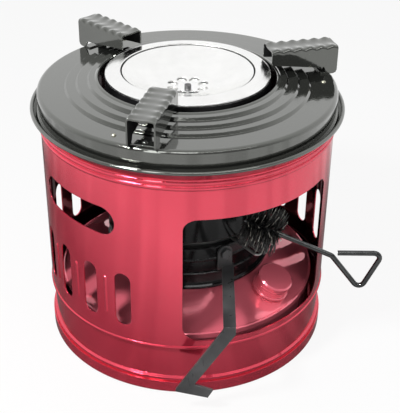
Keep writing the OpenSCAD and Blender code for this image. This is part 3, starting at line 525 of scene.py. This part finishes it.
def support_mesh():
    """Vertices and faces of one support, and its inner faces: +X along it, its tab under the outer end."""
    steps = np.linspace(SUPPORT_IN_R, SUPPORT_OUT_R, SUPPORT_STEPS)
    radii = np.union1d(steps, [r for r, z in SUPPORT_LOWER_EDGE])
    vertices, faces, inner_faces = [], [], []
    for r in radii:
        outer = support_section(r)
        vertices += [Vector((r, y, z)) for line in (outer, thickened(outer)) for y, z in line]
    rows = len(vertices) // len(radii) // 2

    def outside(i, j):
        return 2 * rows * i + j

    def inside(i, j):
        return 2 * rows * i + rows + j

    last, rim = len(radii) - 1, rows - 1
    for i in range(last):
        for j in range(rim):
            faces.append((outside(i, j), outside(i + 1, j), outside(i + 1, j + 1), outside(i, j + 1)))
            inner_faces.append(len(faces))
            faces.append((inside(i, j + 1), inside(i + 1, j + 1), inside(i + 1, j), inside(i, j)))
        faces.append((outside(i, 0), inside(i, 0), inside(i + 1, 0), outside(i + 1, 0)))
        faces.append((outside(i, rim), outside(i + 1, rim), inside(i + 1, rim), inside(i, rim)))
    for j in range(rim):
        faces.append((outside(0, j), outside(0, j + 1), inside(0, j + 1), inside(0, j)))
        faces.append((outside(last, j), inside(last, j), inside(last, j + 1), outside(last, j + 1)))

    first = len(vertices)
    tab_half = SUPPORT_HALF_W - TAB_SIDE_GAP
    for z in (FOOT_Z, FOOT_Z + SUPPORT_T):
        vertices += [Vector((r, y, z)) for y in (-tab_half, tab_half) for r in TAB_R]
    for box_face in BOX_FACES:
        faces.append(tuple(first + corner for corner in box_face))
    return vertices, faces, inner_faces


support_vertices, support_faces, support_inner_faces = support_mesh()
for k in range(SUPPORT_COUNT):
    turn = Matrix.Rotation(math.radians(SUPPORT_AZ + 360 / SUPPORT_COUNT * k - 90), 4, "Z")
    support = new_piece(
        f"wavy_support_{k + 1}", support_vertices, support_faces, turn, "black_enamel", "top"
    )
    support.data.materials.append(SUPPORT_INSIDE)
    for face in support_inner_faces:
        support.data.polygons[face].material_index = 1
    support.data.set_sharp_from_angle(angle=SHARP_FROM)
    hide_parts(f"pot_support_{k + 1}")


# Camera, fitted to the photo
IMAGE_H = 413
FOCAL_PX = 947.22
CAMERA_AT = Vector((0.0110, -0.6987, 0.5232))
CAMERA_AIM = Vector((0.0110, 0.0, 0.10387))
CAMERA_ROLL = math.radians(0.76)
CAMERA_NEAR = 0.01
CAMERA_FAR = 50
SENSOR = 36.0

camera = bpy.data.objects.new("camera", bpy.data.cameras.new("camera"))
bpy.context.scene.collection.objects.link(camera)
camera.data.sensor_width = SENSOR
camera.data.lens = FOCAL_PX * SENSOR / IMAGE_H
camera.data.clip_start = CAMERA_NEAR
camera.data.clip_end = CAMERA_FAR
camera.location = CAMERA_AT
camera_turn = (CAMERA_AIM - CAMERA_AT).to_track_quat("-Z", "Y").to_matrix().to_4x4()
camera.rotation_euler = (camera_turn @ Matrix.Rotation(CAMERA_ROLL, 4, "Z")).to_euler()
bpy.context.scene.camera = camera


# Stage: pale floor and white surround
WHITE = (1, 1, 1, 1)
FLOOR_HALF = 6.0
FLOOR_Z = -0.2 * MM
FLOOR_GREY = (0.5, 0.5, 0.5, 1)
FLOOR_OWN_WHITE = 0.9
# How white the floor shows in reflections, at two distances from its spot of painted shadow under the object
FLOOR_SHADOW_AT = (-0.06, 0.11, 0)
FLOOR_FADE_AT = (0.25, 0.46)
FLOOR_FADE = (0.17, 0.98)
# Painted patches of light and shade in that white: fineness, detail, the noise that they span and how much
# they dim or lift it
PATCH_SCALE = 5.5
PATCH_DETAIL = 1.5
PATCH_NOISE = (0.42, 0.60)
PATCH_LEVEL = (0.85, 1.15)
# The world's light, and where reflections go from a dim room in front to a white wall behind
WORLD_FILL = 0.28
ROOM_SIDE = -0.7
WALL_SIDE = 0.1


def sees_background(nodes, links, seen, mirrored):
    """A share for rays from the camera, another for reflections and glass, and 0 for all other rays.

    The mirrored share is a number or a socket.
    """
    path = nodes.new("ShaderNodeLightPath")
    shares = {"Is Camera Ray": seen, "Is Glossy Ray": mirrored, "Is Transmission Ray": mirrored}
    total = 0.0
    for ray, share in shares.items():
        scaled = math_node(nodes, links, "MULTIPLY", path.outputs[ray], share)
        total = math_node(nodes, links, "MAXIMUM", scaled, total)
    return total


def floor_mirrored(nodes, links):
    """How white the floor shows in reflections: a painted shadow under and behind the object, and painted
    patches of light all round it.
    """
    place = nodes.new("ShaderNodeTexCoord").outputs["Object"]
    away = nodes.new("ShaderNodeVectorMath")
    away.operation = "DISTANCE"
    away.inputs[1].default_value = FLOOR_SHADOW_AT
    links.new(place, away.inputs[0])
    # Painted shadow: the floor's white fades out towards the spot under and behind the object
    fade = spread_node(nodes, links, away.outputs["Value"], FLOOR_FADE_AT, FLOOR_FADE)

    bearing = nodes.new("ShaderNodeVectorMath")
    bearing.operation = "NORMALIZE"
    links.new(place, bearing.inputs[0])
    light_patches = nodes.new("ShaderNodeTexNoise")
    light_patches.inputs["Scale"].default_value = PATCH_SCALE
    light_patches.inputs["Detail"].default_value = PATCH_DETAIL
    links.new(bearing.outputs["Vector"], light_patches.inputs["Vector"])
    light_patch_level = spread_node(nodes, links, light_patches.outputs["Fac"], PATCH_NOISE, PATCH_LEVEL)
    return math_node(nodes, links, "MULTIPLY", fade, light_patch_level, clamp=True)


def floor_material():
    """Grey to the lamps, so that it keeps the shadow, with white mixed in for camera and reflections."""
    material = bpy.data.materials.new("floor")
    material.use_nodes = True
    nodes, links = material.node_tree.nodes, material.node_tree.links
    nodes.clear()
    diffuse = nodes.new("ShaderNodeBsdfDiffuse")
    diffuse.inputs["Color"].default_value = FLOOR_GREY
    glow = nodes.new("ShaderNodeEmission")
    glow.inputs["Color"].default_value = WHITE
    camera_ray = nodes.new("ShaderNodeLightPath").outputs["Is Camera Ray"]
    level = math_node(nodes, links, "MAXIMUM", camera_ray, floor_mirrored(nodes, links))
    links.new(level, glow.inputs["Strength"])
    mix = nodes.new("ShaderNodeMixShader")
    links.new(sees_background(nodes, links, FLOOR_OWN_WHITE, 1.0), mix.inputs["Fac"])
    links.new(diffuse.outputs[0], mix.inputs[1])
    links.new(glow.outputs[0], mix.inputs[2])
    output = nodes.new("ShaderNodeOutputMaterial")
    links.new(mix.outputs[0], output.inputs["Surface"])
    return material


floor_corners = [(x * FLOOR_HALF, y * FLOOR_HALF, 0) for x, y in ((-1, -1), (1, -1), (1, 1), (-1, 1))]
floor_mesh = bpy.data.meshes.new("floor")
floor_mesh.from_pydata(floor_corners, [], [(0, 1, 2, 3)])
floor = bpy.data.objects.new("floor", floor_mesh)
floor.location.z = FLOOR_Z
bpy.context.scene.collection.objects.link(floor)
floor.data.materials.append(floor_material())

world = bpy.data.worlds.new("studio")
bpy.context.scene.world = world
world.use_nodes = True
world_nodes, world_links = world.node_tree.nodes, world.node_tree.links
background = world_nodes["Background"]
background.inputs["Color"].default_value = WHITE
direction = world_nodes.new("ShaderNodeSeparateXYZ")
world_links.new(world_nodes.new("ShaderNodeTexCoord").outputs["Generated"], direction.inputs[0])
wall = spread_node(world_nodes, world_links, direction.outputs["Y"], (ROOM_SIDE, WALL_SIDE), (0.0, 1.0))
white_share = sees_background(world_nodes, world_links, 1.0, wall)
world_level = spread_node(world_nodes, world_links, white_share, (0.0, 1.0), (WORLD_FILL, 1.0))
world_links.new(world_level, background.inputs["Strength"])


# Soft lamps
WINDOW_AIM = (0.03, -0.06, 0.06)


def soft_lamp(name, at, aim, size, power, mirrored=True):
    """A rectangular lamp, which reflections show only where it is mirrored."""
    lamp = bpy.data.lights.new(name, "AREA")
    lamp.shape = "RECTANGLE"
    lamp.size, lamp.size_y = size
    lamp.energy = power
    obj = bpy.data.objects.new(name, lamp)
    obj.location = at
    obj.visible_glossy = mirrored
    obj.rotation_euler = (Vector(aim) - Vector(at)).to_track_quat("-Z", "Y").to_euler()
    bpy.context.scene.collection.objects.link(obj)


soft_lamp("key_left", at=(-0.47, -0.46, 0.84), aim=WINDOW_AIM, size=(0.14, 0.14), power=12.0)
soft_lamp("fill_right", at=(0.50, -0.60, 0.45), aim=WINDOW_AIM, size=(0.30, 0.30), power=1.6, mirrored=False)
soft_lamp("strip_left", at=(-0.30, -0.72, 0.62), aim=(0, 0, 0.14), size=(0.16, 0.60), power=1.5)
soft_lamp("strip_front", at=(0.25, -0.60, 0.95), aim=(0.05, -0.05, 0.12), size=(0.90, 0.20), power=2.4)
soft_lamp("top", at=(0.1, 0.3, 1.4), aim=(0, 0, 0.2), size=(1.0, 0.8), power=7.0, mirrored=False)

scene = bpy.context.scene
scene.view_settings.view_transform = "Standard"
